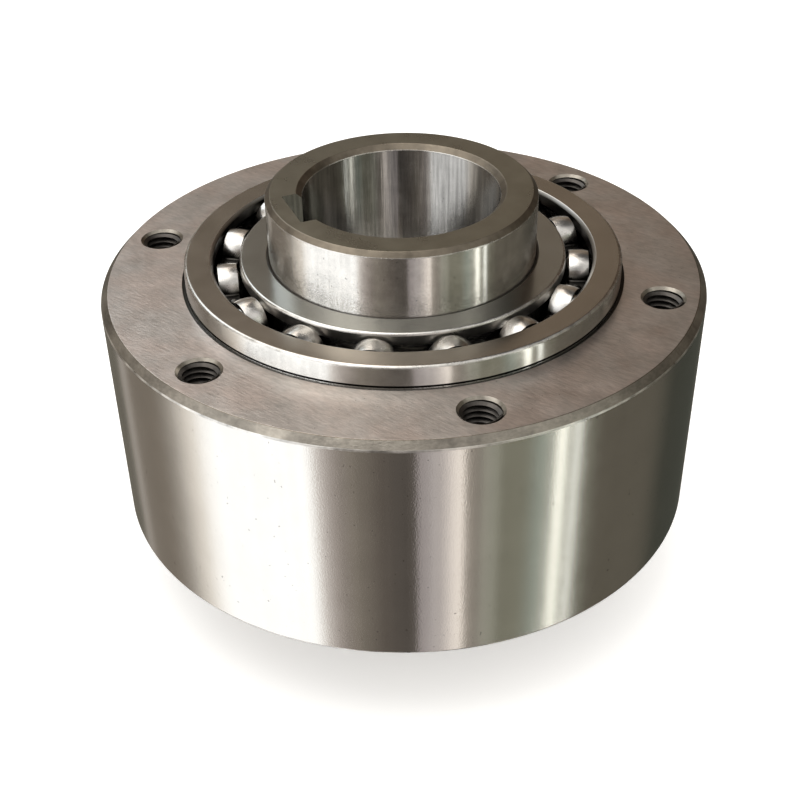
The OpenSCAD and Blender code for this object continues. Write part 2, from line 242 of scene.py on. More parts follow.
def draw_path(name, points):
    """Draws a line from point to point, from a plane shrunk to one, and stays in edit mode."""
    leave_all()
    bpy.ops.mesh.primitive_plane_add(size=0.001)
    piece = bpy.context.active_object
    piece.name = piece.data.name = name
    bpy.ops.object.mode_set(mode="EDIT")
    bpy.ops.mesh.select_mode(type="VERT")
    bpy.ops.mesh.select_all(action="SELECT")
    bpy.ops.mesh.merge(type="CENTER")
    bpy.ops.transform.translate(value=points[0])
    for start, end in zip(points, points[1:]):
        step = tuple(b - a for a, b in zip(start, end))
        bpy.ops.mesh.extrude_region_move(TRANSFORM_OT_translate={"value": step})
    return piece


def round_point(piece, place, rounding, segments, kind="ABSOLUTE"):
    """Rounds a line's corner at a place."""
    pick(piece, "VERT", lambda co: (co - Vector(place)).length < SAME_PLACE)
    bpy.ops.mesh.bevel(offset=rounding, offset_type=kind, segments=segments, affect="VERTICES")


def draw_section(name, corners):
    """Draws the closed outline of a half section; a corner is its radius, its height and the rounding of its edge."""
    piece = draw_path(name, [(radius, 0, height) for radius, height, rounding in corners])
    bpy.ops.mesh.select_all(action="SELECT")
    bpy.ops.mesh.edge_face_add()
    for radius, height, rounding in corners:
        if rounding:
            # A deburred edge needs fewer segments than a rounding that shows
            round_point(piece, (radius, 0, height), rounding, 6 if rounding > 0.0005 else 3)
    bpy.ops.mesh.select_all(action="SELECT")
    bpy.ops.mesh.delete(type="ONLY_FACE")
    bpy.ops.object.mode_set(mode="OBJECT")
    return piece


def turn_solid(name, corners, steps):
    """Draws a half section and spins it round the Z axis into a closed solid."""
    piece = draw_section(name, corners)
    open_all(piece)
    bpy.ops.mesh.spin(steps=steps, angle=2 * pi, center=(0, 0, 0), axis=(0, 0, 1))
    bpy.ops.mesh.select_all(action="SELECT")
    bpy.ops.mesh.remove_doubles(threshold=SAME_PLACE)
    bpy.ops.mesh.normals_make_consistent(inside=False)
    bpy.ops.object.mode_set(mode="OBJECT")
    return piece


def turn_about_axis(turn):
    """Turns what is selected in edit mode about the Z axis, anticlockwise from above."""
    bpy.ops.transform.rotate(value=-turn, orient_axis="Z", center_override=(0, 0, 0))


def modify(piece, kind, **settings):
    """Adds a modifier with its settings to the piece, and applies it."""
    take(piece)
    bpy.ops.object.modifier_add(type=kind)
    modifier = piece.modifiers[-1]
    for name, value in settings.items():
        setattr(modifier, name, value)
    bpy.ops.object.modifier_apply(modifier=modifier.name)


def cut(piece, cutter):
    """Takes the cutter out of the piece and deletes it."""
    modify(piece, "BOOLEAN", operation="DIFFERENCE", solver="EXACT", object=cutter)
    bpy.data.objects.remove(cutter)
    open_all(piece)
    bpy.ops.mesh.remove_doubles(threshold=SAME_PLACE)
    bpy.ops.object.mode_set(mode="OBJECT")


def copy_of(piece, name, move, flip=(1, 1, 1)):
    """Copies a piece with its own mesh, flips the copy about the origin and moves it to its place."""
    take(piece)
    bpy.ops.object.duplicate(linked=False)
    copy = bpy.context.active_object
    copy.name = copy.data.name = name
    open_all(copy)
    if min(flip) < 0:
        bpy.ops.transform.resize(value=flip, center_override=(0, 0, 0))
    if prod(flip) < 0:
        # A mirror image is inside out
        bpy.ops.mesh.normals_make_consistent(inside=False)
    bpy.ops.transform.translate(value=move)
    bpy.ops.object.mode_set(mode="OBJECT")
    return copy


def smooth(piece, degrees=32):
    """Smooths round faces, keeps edges sharper than the angle, and keeps flat faces flat."""
    take(piece)
    bpy.ops.object.shade_smooth_by_angle(angle=radians(degrees))
    modify(piece, "WEIGHTED_NORMAL", keep_sharp=True, weight=100)


def paint(piece, cover, *finishes):
    """Covers a piece with one finish and then gives it the others in order, each where a face passes its test of the
    distance from the axis, the distance from the middle plane and the share of Z in the normal."""
    piece.data.materials.clear()
    piece.data.materials.append(FINISH[cover])
    for finish, test in finishes:
        piece.data.materials.append(FINISH[finish])
        pick(piece, "FACE", lambda co, normal: test(hypot(co.x, co.y), abs(co.z), abs(normal.z)))
        piece.active_material_index = len(piece.data.materials) - 1
        bpy.ops.object.material_slot_assign()
        bpy.ops.object.mode_set(mode="OBJECT")


def hand_over(piece, body, slot, *nodes):
    """Puts a finished piece on its body, in the place of the nodes that it stands for. The slot is not used."""
    leave_all()
    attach(piece, body)
    if nodes:
        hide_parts(*nodes)


def mirrored(upper):
    """Closes a section whose corners are given for the upper half with its mirror image below."""
    return upper + [(radius, -height, rounding) for radius, height, rounding in reversed(upper)]


def groove(middle, radius, land, side, count=20):
    """Points of a ball groove's arc, from the lower edge up; side is 1 in the outer ring and -1 in the inner."""
    spread = acos((land - middle) * side / radius)
    turns = [spread - 2 * spread * i / count for i in range(count, -1, -1)]
    return [(middle + side * radius * cos(a), radius * sin(a), 0) for a in turns]


def add(tree, kind, inputs=None, out=0, stops=(), **settings):
    """Adds a node with its settings and a ramp's stops, links or sets its inputs, and returns one of its outputs."""
    node = tree.nodes.new(kind)
    for name, value in settings.items():
        setattr(node, name, value)
    if stops:
        elements = node.color_ramp.elements
        while len(elements) < len(stops):
            elements.new(0.5)
        for element, (position, value) in zip(elements, stops):
            element.position = position
            element.color = rgba(value)
    for key, value in (inputs or {}).items():
        if isinstance(value, NodeSocket):
            tree.links.new(value, node.inputs[key])
        else:
            node.inputs[key].default_value = value
    return node.outputs[out] if node.outputs else None


def grain(tree, size_mm, detail=3.0, turn=0):
    """Noise in Object coordinates, turned by degrees, whose grain has a size in millimetres along X, Y and Z."""
    place = add(tree, "ShaderNodeMapping", {
        "Vector": add(tree, "ShaderNodeTexCoord", out="Object"), "Scale": [s / 1000 for s in size_mm],
        "Rotation": (0, 0, radians(turn))}, vector_type="TEXTURE")
    return add(tree, "ShaderNodeTexNoise", {"Vector": place, "Scale": 1.0, "Detail": detail, "Roughness": 0.6})


def lathe_marks(tree, pitch_mm):
    """Noise that changes with the distance from the axis only, as a turned or ground face's marks do."""
    place = add(tree, "ShaderNodeTexCoord", out="Object")
    flat = add(tree, "ShaderNodeVectorMath", {0: place, 1: (1, 1, 0)}, operation="MULTIPLY")
    radius = add(tree, "ShaderNodeVectorMath", {0: flat}, "Value", operation="LENGTH")
    rings = add(tree, "ShaderNodeMath", {0: radius, 1: 1000 / pitch_mm}, operation="MULTIPLY")
    return add(tree, "ShaderNodeTexNoise", {"W": rings, "Scale": 1.0, "Detail": 2.0}, noise_dimensions="1D")


def off_middle(tree, vector):
    """The Z of a vector, without its sign."""
    height = add(tree, "ShaderNodeSeparateXYZ", {"Vector": vector}, "Z")
    return add(tree, "ShaderNodeMath", {0: height}, operation="ABSOLUTE")


def steel(name, tone, roughness, depth_mm, *marks, blotch_mm=9.0, blotch=0.1, rough_spread=0.03, anisotropy=0.0,
          lean=0.0, rise=0.0, tint=None, streak_mm=None, streak=0.0, speck_mm=None, shade_and_grease=None):
    """A steel finish. Its tone varies in clouds, stains, streaks and small pits, and below a height painted shade with
    grease darkens it.
    Its marks are bump of the given depth; each one is its share, its pattern and what that takes. Marks round the axis
    that are too fine for the picture have slopes spread over lean, and lean outwards by rise, so that the steel mirrors
    the room and not only the parts beside it."""
    material = bpy.data.materials.new(name)
    material.use_nodes = True
    tree = material.node_tree
    tree.nodes.clear()
    clouds = grain(tree, (blotch_mm,) * 3, 4.0)
    base = add(tree, "ShaderNodeValToRGB", {"Fac": clouds}, stops=[
        (0.3, [c * (1 - blotch) for c in tone]), (0.7, [min(1, c * (1 + blotch)) for c in tone])])
    layers = []
    if tint:
        layers.append((grain(tree, (11, 11, 11)), [(0.4, 1.0), (0.62, tint)]))
    if streak_mm:
        layers.append((grain(tree, streak_mm, 4.0, -20), [(0.35, 1 - streak), (0.65, 1.0)]))
    if speck_mm:
        layers.append((grain(tree, (speck_mm,) * 3, 0.0), [(0.15, 0.6), (0.185, 1.0)]))
    for pattern, stops in layers:
        shade = add(tree, "ShaderNodeValToRGB", {"Fac": pattern}, stops=stops)
        base = add(tree, "ShaderNodeMix", {0: 1.0, 6: base, 7: shade}, 2, data_type="RGBA", blend_type="MULTIPLY")
    if shade_and_grease:
        # A little of the steel's tone still shows through the painted shade and grease
        clean = add(tree, "ShaderNodeMapRange", {
            "Value": off_middle(tree, add(tree, "ShaderNodeTexCoord", out="Object")),
            "From Min": shade_and_grease[0], "From Max": shade_and_grease[1], "To Min": 0.04}, interpolation_type="SMOOTHSTEP")
        # Painted shade: nearer the middle plane the tone turns almost black
        base = add(tree, "ShaderNodeMix", {0: clean, 6: rgba("#1d1a16"), 7: base}, 2, data_type="RGBA")
    rough = add(tree, "ShaderNodeMapRange", {
        "Value": clouds, "From Min": 0.3, "From Max": 0.7,
        "To Min": roughness - rough_spread, "To Max": roughness + rough_spread})
    relief = 0.0
    for share, pattern, *details in marks:
        mark = pattern(tree, *details)
        relief = add(tree, "ShaderNodeMath", {0: mark, 1: share, 2: relief}, operation="MULTIPLY_ADD")
    bump = {"Height": relief, "Strength": 1.0, "Distance": depth_mm / 1000}
    if lean:
        normal = add(tree, "ShaderNodeNewGeometry", out="Normal")
        # The slopes of marks 0.05 mm wide spread a reflection along the axis and leave it sharp round the axis
        slope = add(tree, "ShaderNodeMath", {0: grain(tree, (0.3, 0.3, 0.05), 1.0), 1: lean, 2: -lean / 2},
                    operation="MULTIPLY_ADD")
        if rise:
            place = add(tree, "ShaderNodeTexCoord", out="Object")
            outward = add(tree, "ShaderNodeMapRange", {
                "Value": add(tree, "ShaderNodeSeparateXYZ", {"Vector": place}, "Z"),
                "From Min": -0.01, "From Max": 0.01, "To Min": -rise, "To Max": rise})
            # The lean fades out over a rounded corner
            share = add(tree, "ShaderNodeMapRange", {
                "Value": off_middle(tree, normal), "From Max": 0.5, "To Min": 1.0, "To Max": 0.0})
            slope = add(tree, "ShaderNodeMath", {0: outward, 1: share, 2: slope}, operation="MULTIPLY_ADD")
        leaning = add(tree, "ShaderNodeVectorMath", {0: normal, 1: add(tree, "ShaderNodeCombineXYZ", {"Z": slope})},
                      operation="ADD")
        bump["Normal"] = add(tree, "ShaderNodeVectorMath", {0: leaning}, operation="NORMALIZE")
    surface = {"Base Color": base, "Metallic": 1.0, "Roughness": rough, "Normal": add(tree, "ShaderNodeBump", bump)}
    if anisotropy:
        # A quarter turn spreads a highlight across marks that run round the axis
        surface.update({"Anisotropic": anisotropy, "Anisotropic Rotation": 0.25, "Tangent": add(
            tree, "ShaderNodeTangent", direction_type="RADIAL", axis="Z")})
    add(tree, "ShaderNodeOutputMaterial", {"Surface": add(tree, "ShaderNodeBsdfPrincipled", surface)})
    material.diffuse_color = rgba(tone)
    material.metallic = 1.0
    material.roughness = roughness
    return material


class CLUTCH_OT_finishes(Operator):
    """Makes the steels, and gives the carried-over solids theirs"""

    bl_idname = "clutch.finishes"
    bl_label = "Finishes"

    def execute(self, context):
        tones = context.scene.clutch_finishes
        # Cylindrically ground steel: fine marks run round the axis, so it mirrors windows as straight bands along it
        FINISH["ground"] = steel(
            "ground_steel_side", tones.ground, 0.12, 0.006,
            (0.25, grain, (0.9, 0.9, 1.6)), (1, grain, (0.3, 0.3, 0.4), 1.0),
            anisotropy=1.0, lean=0.12, rough_spread=0.01, blotch=0.03, speck_mm=0.6)
        # The same on the hub, with coarser marks and the odd rub
        FINISH["hub"] = steel(
            "ground_steel_hub", tones.ground, 0.18, 0.003, (1, grain, (1.1, 1.1, 1.1)),
            anisotropy=1.0, lean=0.8, rise=0.24, rough_spread=0.04, blotch=0.13, blotch_mm=4, speck_mm=0.5)
        # Surface-ground steel: short crossing scratches and cloudy patches give a soft sheen, with no clear reflection;
        # the tint is factors on red, green and blue
        FINISH["face"] = steel(
            "ground_steel_face", tones.face, 0.34, 0.04,
            (1, grain, (2.2, 0.5, 2), 4.0, -24), (0.7, grain, (1.4, 0.4, 2), 4.0, 20),
            blotch_mm=6, blotch=0.08, streak_mm=(2.0, 0.6, 3), streak=0.2, tint=(1.04, 0.975, 0.95), speck_mm=0.5)
        # Turned chamfer: tool marks round the axis, dull
        FINISH["turned"] = steel(
            "turned_steel_chamfer", tones.turned, 0.38, 0.06, (1, grain, (1, 1, 0.4), 4.0),
            blotch=0.45, streak_mm=(1, 1, 0.4), streak=0.2)
        # The hub's chamfers are duller, stained and rubbed
        FINISH["worn"] = steel(
            "worn_steel_chamfer", tones.worn, 0.42, 0.04, (1, grain, (2, 2, 0.3), 4.0), blotch_mm=3, blotch=0.25)
        # Burr left along the race's chamfer: bright where handling has rubbed it, and dull between
        FINISH["edge"] = steel(
            "burnished_steel_edge", tones.ground, 0.32, 0.03, (1, grain, (2, 2, 2)),
            blotch_mm=5, blotch=0.6, rough_spread=0.08)
        # Rounded and polished corner: a bright line, dulled in places by small knocks
        FINISH["corner"] = steel(
            "polished_steel_corner", tones.ground, 0.28, 0.005, (1, grain, (1.5, 1.5, 1.5)),
            blotch_mm=3, blotch=0.3, rough_spread=0.06)
        # Tapped hole: dull walls with a dark tone, which is painted shade inside the hole
        FINISH["thread"] = steel(
            "tapped_steel_thread", tones.thread, 0.4, 0.02, (1, grain, (1, 1, 0.25)), blotch_mm=1.5, blotch=0.3)
        # Countersink at a hole's mouth: brighter than the thread
        FINISH["countersink"] = steel(
            "countersunk_steel", tones.turned, 0.34, 0.02, (1, grain, (0.5, 0.5, 0.5)), blotch_mm=1.5, blotch=0.3)
        # Faced hub end: fine rings and a dull sheen
        FINISH["hub_end"] = steel(
            "faced_steel_hub_end", tones.hub_end, 0.29, 0.0015, (1, lathe_marks, 0.35), blotch_mm=6)
        # Honed bore: mirrors the windows as bands along the bore, broken by scratches from the reamer
        FINISH["bore"] = steel(
            "honed_steel_bore", tones.bore, 0.14, 0.01, (1, grain, (0.45, 0.45, 9)), blotch_mm=3,
            anisotropy=1.0, lean=0.35, rise=0.52, streak_mm=(0.6, 0.6, 14), streak=0.4, speck_mm=0.45)
        # Finely ground bearing ring: its faces mirror the room softly
        FINISH["ring"] = steel(
            "ground_bearing_ring", tones.ring, 0.21, 0.001, (1, lathe_marks, 0.3), blotch_mm=10, blotch=0.06)
        # The inner ring's face is ground finer, and looks cooler
        FINISH["inner_ring"] = steel(
            "lapped_bearing_ring", tones.inner_ring, 0.22, 0.001, (1, lathe_marks, 0.3), blotch_mm=10, blotch=0.05)
        # The rings' sides are ground round the axis, and mirror the windows as soft bands along it
        FINISH["ring_side"] = steel(
            "ground_bearing_side", tones.ground, 0.17, 0.002, (1, grain, (1.2, 1.2, 1.2)),
            anisotropy=1.0, lean=0.6, rise=0.36, blotch_mm=5, blotch=0.12)
        # Walls of the gap between the rings: bright at the lip, then darkened deeper in by painted shade with grease
        FINISH["gap"] = steel(
            "shaded_greased_bearing_groove", tones.ground, 0.3, 0.02, (1, grain, (8, 8, 0.2)), shade_and_grease=(0.0265, 0.0296))
        # The outer ring's land and groove are darkened up to the lip by painted shade with grease, so only a thin
        # bright line is left
        FINISH["land"] = steel(
            "shaded_oiled_bearing_land", tones.ground, 0.3, 0.02, (1, grain, (8, 8, 0.2)), shade_and_grease=(0.0297, 0.0307))
        # Lapped ball steel: a near mirror, darkened deeper in the bearing by painted shade with grease
        FINISH["ball"] = steel(
            "lapped_ball_steel", tones.ball, 0.09, 0.001, (1, grain, (2, 2, 2)),
            blotch=0.03, rough_spread=0.02, shade_and_grease=(0.0255, 0.0280))
        # Pressed and tumbled sheet steel: bright and a little uneven on the pockets, darkened between them by painted
        # shade with grease
        FINISH["cage"] = steel(
            "tumbled_cage_steel", tones.cage, 0.24, 0.03, (1, grain, (0.9, 0.9, 0.9), 4.0),
            blotch_mm=2.5, blotch=0.14, rough_spread=0.06, shade_and_grease=(0.0261, 0.0282))
        # Punched strip of the sprag cages: dull, with drawing marks round the axis
        FINISH["strip"] = steel(
            "punched_strip_steel", tones.strip, 0.38, 0.01, (1, grain, (3, 3, 0.5)), blotch_mm=4)
        # Hardened spring strip: blued by heat, with a satin sheen
        FINISH["spring"] = steel(
            "blued_spring_steel", tones.spring, 0.3, 0.006, (1, grain, (2, 2, 0.5)), blotch_mm=3, blotch=0.2)
        # Stamped side plates: grey and matt
        FINISH["washer"] = steel(
            "stamped_washer_steel", tones.washer, 0.36, 0.01, (1, grain, (1.2, 1.2, 1.2)), blotch_mm=4)
        # Sprags tumbled after drawing: a soft, faintly cloudy sheen
        FINISH["sprag"] = steel(
            "tumbled_sprag_steel", tones.sprag, 0.3, 0.01, (1, grain, (0.8, 0.8, 2.0)), blotch_mm=2.5, blotch=0.16)
        for name, node in frame["nodes"].items():
            finish = next(finish for part, finish in NODE_FINISHES if part in name)
            for place in node.material_slots:
                place.material = FINISH[finish]
        return {"FINISHED"}


class CLUTCH_OT_outer_race(Operator):
    """Turns and grinds the outer race, and drills and countersinks its face holes"""

    bl_idname = "clutch.outer_race"
    bl_label = "Outer race"

    def execute(self, context):
        sizes = context.scene.clutch_sizes
        fine = sizes.edge_break
        seat = RING_HIGH.x + sizes.seat_gap
        race = turn_solid("ground_outer_race", mirrored([
            (sizes.outer_track, RING_LOW.z, 0),
            (seat, RING_LOW.z, 0),
            (seat, FACE_HEIGHT - sizes.seat_chamfer, 0),
            (seat + sizes.seat_chamfer, FACE_HEIGHT, fine),
            (RACE_RADIUS - sizes.race_chamfer, FACE_HEIGHT, fine),
            (RACE_RADIUS, FACE_HEIGHT - sizes.race_chamfer, 2 * fine),
        ]), 256)
        drill = HOLE_RADIUS - sizes.thread_height
        mouth = HOLE_RADIUS + sizes.hole_chamfer
        # The cutter has its mouth at the origin and its tip below, and a copy is set in each hole's place
        bit = turn_solid("drill", [
            (0, CLEAR, 0), (mouth + CLEAR, CLEAR, 0), (HOLE_RADIUS, -sizes.hole_chamfer, 0),
            (HOLE_RADIUS, -sizes.thread_depth, 0), (drill, -sizes.thread_depth, 0), (drill, -sizes.drill_depth, 0),
            (0, -sizes.drill_depth - drill / sqrt(3), 0)], 48)
        for name, (x, y), side in HOLES:
            cut(race, copy_of(bit, name + "_drill", (x, y, side * FACE_HEIGHT), (1, 1, side)))
        bpy.data.objects.remove(bit)
        smooth(race)
        top = FACE_HEIGHT - 0.002
        rim = RACE_RADIUS - 2 * sizes.race_chamfer
        inside = seat + 2 * sizes.seat_chamfer
        paint(
            race, "ground",
            ("face", lambda r, z, level: level > FLAT and z > FACE_HEIGHT - SKIN),
            ("turned", lambda r, z, level: CHAMFER_LOW < level < CHAMFER_HIGH and z > top and r > rim),
            ("worn", lambda r, z, level: CHAMFER_HIGH < level < FLAT and z > top and r > rim),
            ("edge", lambda r, z, level: WALL < level < CHAMFER_LOW and z > top and r > rim),
            # Painted shade: the seat's chamfer and wall beside the bearing ring
            ("gap", lambda r, z, level: level < FLAT and z > top and r < inside),
            ("thread", lambda r, z, level: abs(r - HOLE_CIRCLE) < mouth and z < FACE_HEIGHT - SKIN / 10),
            ("countersink", lambda r, z, level: (
                abs(r - HOLE_CIRCLE) < mouth and 0.3 < level < FLAT and z > FACE_HEIGHT - 1.1 * sizes.hole_chamfer)))
        hand_over(race, "housing", "race_steel", "outer_race")
        return {"FINISHED"}


class CLUTCH_OT_threads(Operator):
    """Cuts the threads that show in the face holes"""

    bl_idname = "clutch.threads"
    bl_label = "Face hole threads"

    def execute(self, context):
        sizes = context.scene.clutch_sizes
        crest = HOLE_RADIUS - sizes.thread_height
        root = HOLE_RADIUS + 0.00002  # A little inside the wall, so that no gap shows
        crest_half, root_half = 0.00008, 0.00054
        turns = 12
        start = 0.0005 - sizes.thread_depth  # Just above the tapped part's floor
        ridge = draw_section("thread_ridge", [
            (root, start - root_half, 0), (crest, start - crest_half, 0), (crest, start + crest_half, 0),
            (root, start + root_half, 0)])
        modify(ridge, "SCREW", axis="Z", angle=2 * pi, screw_offset=sizes.thread_pitch, iterations=turns, steps=36,
               render_steps=36, use_merge_vertices=False)
        # The ridge runs out into the wall at its mouth end
        near = 0.0003
        top = start + turns * sizes.thread_pitch - 0.0002
        pick(ridge, "VERT", lambda co: hypot(co.x, co.y) < root - near and co.z > top and abs(co.y) < near and co.x > 0)
        bpy.ops.transform.translate(value=(sizes.thread_height, 0, 0))
        bpy.ops.mesh.select_all(action="SELECT")
        bpy.ops.mesh.fill_holes(sides=4)
        bpy.ops.mesh.select_all(action="SELECT")
        bpy.ops.mesh.normals_make_consistent(inside=False)
        take(ridge)
        bpy.ops.object.shade_smooth_by_angle(angle=radians(30))
        paint(ridge, "thread")
        for name, (x, y), side in HOLES:
            # Half a turn about X keeps the thread right-handed on the lower face
            thread = copy_of(ridge, name + "_thread", (x, y, side * FACE_HEIGHT), (1, side, side))
            hand_over(thread, "housing", "race_steel")
        bpy.data.objects.remove(ridge)
        return {"FINISHED"}


class CLUTCH_OT_hub(Operator):
    """Turns and grinds the hub, and cuts its keyway"""

    bl_idname = "clutch.hub"
    bl_label = "Hub"

    def execute(self, context):
        sizes = context.scene.clutch_sizes
        fine = sizes.edge_break
        hub = turn_solid("ground_hub", mirrored([
            (BORE_RADIUS, HUB_END - sizes.bore_chamfer, fine),
            (BORE_RADIUS + sizes.bore_chamfer, HUB_END, fine),
            (sizes.hub_radius - sizes.hub_chamfer, HUB_END, fine),
            (sizes.hub_radius, HUB_END - sizes.hub_chamfer, fine),
            (sizes.hub_radius, RING_LOW.z, 0),
            (TRACK_RADIUS, RING_LOW.z, fine),
        ]), 192)
        depth = BORE_RADIUS + sizes.keyway_depth
        way = Vector(MOUNTS["shaft_keyway"]["pos_m"]).normalized()
        leave_all()
        bpy.ops.mesh.primitive_cube_add(
            size=1, scale=(depth, sizes.keyway_width, 2 * HUB_END + 10 * CLEAR), location=way * depth / 2,
            rotation=(0, 0, atan2(way.y, way.x)))
        key = bpy.context.active_object
        bpy.ops.object.transform_apply(location=True, rotation=True, scale=True)
        pick(key, "FACE", lambda co, normal: normal.dot(way) > 0.9)
        bpy.ops.mesh.bevel(offset=sizes.keyway_corner, segments=3, affect="EDGES")
        bpy.ops.object.mode_set(mode="OBJECT")
        cut(hub, key)
        smooth(hub)
        top = HUB_END - 0.002
        paint(
            hub, "hub",
            ("hub_end", lambda r, z, level: level > FLAT and z > HUB_END - SKIN),
            ("worn", lambda r, z, level: CHAMFER_LOW < level < FLAT and z > top),
            ("corner", lambda r, z, level: WALL < level < CHAMFER_LOW and z > top),
            ("bore", lambda r, z, level: r < depth + 0.001 and level < WALL))
        hand_over(hub, "hub", "hub_steel", "inner_race")
        return {"FINISHED"}


class CLUTCH_OT_bearing_rings(Operator):
    """Grinds the rings of both ball bearings, with their ball grooves"""

    bl_idname = "clutch.bearing_rings"
    bl_label = "Bearing rings"

    def execute(self, context):
        sizes = context.scene.clutch_sizes
        fine = sizes.edge_break
        half = (RING_HIGH.z - RING_LOW.z) / 2
        pitch = (RING_HIGH.x + sizes.hub_radius) / 2
        # A groove's radius is the usual 52 % of the ball's diameter
        curve = 0.52 * 2 * sizes.ball_radius
        bottom = sizes.ball_radius + sizes.ball_play
        bore = sizes.hub_radius + sizes.seat_gap
        # A dark line of painted shade, for the gap's shade, lies at the outer ring's foot, just above the race's face
        foot = FACE_HEIGHT - BEARING_MIDDLE
        foot_shade_top = foot + sizes.foot_shade_line
        outer = mirrored([
            (sizes.outer_land, half - sizes.land_chamfer, 0), (sizes.outer_land + sizes.land_chamfer, half, fine),
            (RING_HIGH.x, half, sizes.ring_corner), (RING_HIGH.x, foot_shade_top, 0), (RING_HIGH.x, foot, 0)])
        # The inner land ends just under the lip's rounding
        inner = mirrored([
            (sizes.inner_land, half - 0.0007, 0), (sizes.inner_land, half, sizes.lip), (bore, half, sizes.ring_corner)])
        outer += groove(pitch + bottom - curve, curve, sizes.outer_land, 1)
        inner += groove(pitch - bottom + curve, curve, sizes.inner_land, -1)
        slack = 0.0003
        edge = half - 0.0004
        top = half - 0.001
        for kind, corners, body, gap, face in (
                ("outer", outer, "housing", "land", "ring"), ("inner", inner, "hub", "gap", "inner_ring")):
            ring = turn_solid(kind + "_ring", corners, 192)
            smooth(ring)
            paint(
                ring, "ring_side",
                # Painted shade: the walls of the gap between the rings darken deeper in
                (gap, lambda r, z, level: sizes.inner_land - slack < r < sizes.outer_land + slack and z < edge),
                # Painted shade: the dark line at the outer ring's foot
                ("gap", lambda r, z, level: r > RING_HIGH.x - SKIN and foot < z < foot_shade_top),
                ("corner", lambda r, z, level: level > 0.6 and z > top),
                ("land", lambda r, z, level: abs(r - sizes.outer_land) < 0.0007 and 0.1 < level < FLAT),
                # Painted shade: a dark line at the inner ring's bore, where it meets the hub
                ("thread", lambda r, z, level: level > WALL and z > top and r < bore + sizes.ring_corner),
                (face, lambda r, z, level: level > FLAT and z > edge))
            for end, side in (("upper", 1), ("lower", -1)):
                copy = copy_of(ring, "%s_%s_ground_ring" % (end, kind), (0, 0, side * BEARING_MIDDLE))
                hand_over(copy, body, "ring_steel", "%s_bearing_%s_ring" % (end, kind))
            bpy.data.objects.remove(ring)
        return {"FINISHED"}


class CLUTCH_OT_ball_cages(Operator):
    """Presses the ribbon cages that space the balls"""

    bl_idname = "clutch.ball_cages"
    bl_label = "Ball cages"

    def execute(self, context):
        sizes = context.scene.clutch_sizes
        pitch = (RING_HIGH.x + sizes.hub_radius) / 2
        sheet, band = sizes.cage_sheet, sizes.cage_band
        inner = pitch - band / 2
        half_step = pi / BALL_COUNT
        pocket = sizes.ball_radius + sizes.pocket_play + sheet / 2
        reach = pitch * half_step * 1.3  # Past the cut halfway to the next ball
        foot = pocket + sizes.pocket_fillet * 0.2
        # Path of the sheet's middle along the ring over one ball, beside the cage's parting plane
        cover = [(sin(a) * pocket, cos(a) * pocket) for a in (radians(-78 + 156 * i / 18) for i in range(19))]
        path = [(-reach, sheet / 2), (-foot, sheet / 2)] + cover + [(foot, sheet / 2), (reach, sheet / 2)]
        cage = draw_path("cage_ribbon", [(inner, along, up) for along, up in path])
        for side in (-1, 1):
            round_point(cage, (inner, side * foot, sheet / 2), sizes.pocket_fillet, 4, "OFFSET")
        bpy.ops.mesh.select_all(action="SELECT")
        for _ in range(4):
            bpy.ops.mesh.extrude_region_move(TRANSFORM_OT_translate={"value": (band / 4, 0, 0)})
        # Pressing leaves the pockets a little crowned across the band
        for distance, share in ((band / 2, 0.955), (band / 4, 0.989)):
            pick(cage, "VERT", lambda co: abs(abs(co.x - pitch) - distance) < SAME_PLACE)
            bpy.ops.transform.resize(value=(1, share, share), center_override=(pitch, 0, 0))
        # Each pocket's sheet ends halfway to the next ball
        for side in (-1, 1):
            bpy.ops.mesh.select_all(action="SELECT")
            bpy.ops.mesh.bisect(
                plane_co=(0, 0, 0), plane_no=(-sin(half_step), side * cos(half_step), 0), clear_outer=True)
        bpy.ops.mesh.select_all(action="SELECT")
        turn_about_axis(BALL_PHASE)
        for _ in range(BALL_COUNT - 1):
            bpy.ops.mesh.duplicate()
            turn_about_axis(2 * half_step)
        bpy.ops.mesh.select_all(action="SELECT")
        bpy.ops.mesh.remove_doubles(threshold=2 * SAME_PLACE)
        bpy.ops.mesh.normals_make_consistent(inside=False)
        modify(cage, "SOLIDIFY", thickness=sheet, offset=0, use_even_offset=True)
        modify(cage, "BEVEL", width=sheet * 0.22, segments=2, limit_method="ANGLE", angle_limit=radians(50))
        open_all(cage)
        bpy.ops.mesh.normals_make_consistent(inside=False)
        smooth(cage, 40)
        paint(cage, "cage")
        for end, way in (("upper", 1), ("lower", -1)):
            for half, side in (("outboard", 1), ("inboard", -1)):
                copy = copy_of(
                    cage, "%s_%s_pressed_cage" % (end, half), (0, 0, way * BEARING_MIDDLE), (1, 1, way * side))
                hand_over(copy, end + "_ball_cage", "cage_steel", "%s_bearing_cage_%s" % (end, half))
        bpy.data.objects.remove(cage)
        return {"FINISHED"}


def by_angle(first, last, *pairs):
    """Stops of a ramp that runs between two angles in degrees, from pairs of an angle and a tone."""
    return [((degrees - first) / (last - first), tone) for degrees, tone in pairs]


def lit(code, times):
    """An sRGB hex colour as linear RGB, brighter than white by a factor."""
    return [c * times for c in linear(code)]


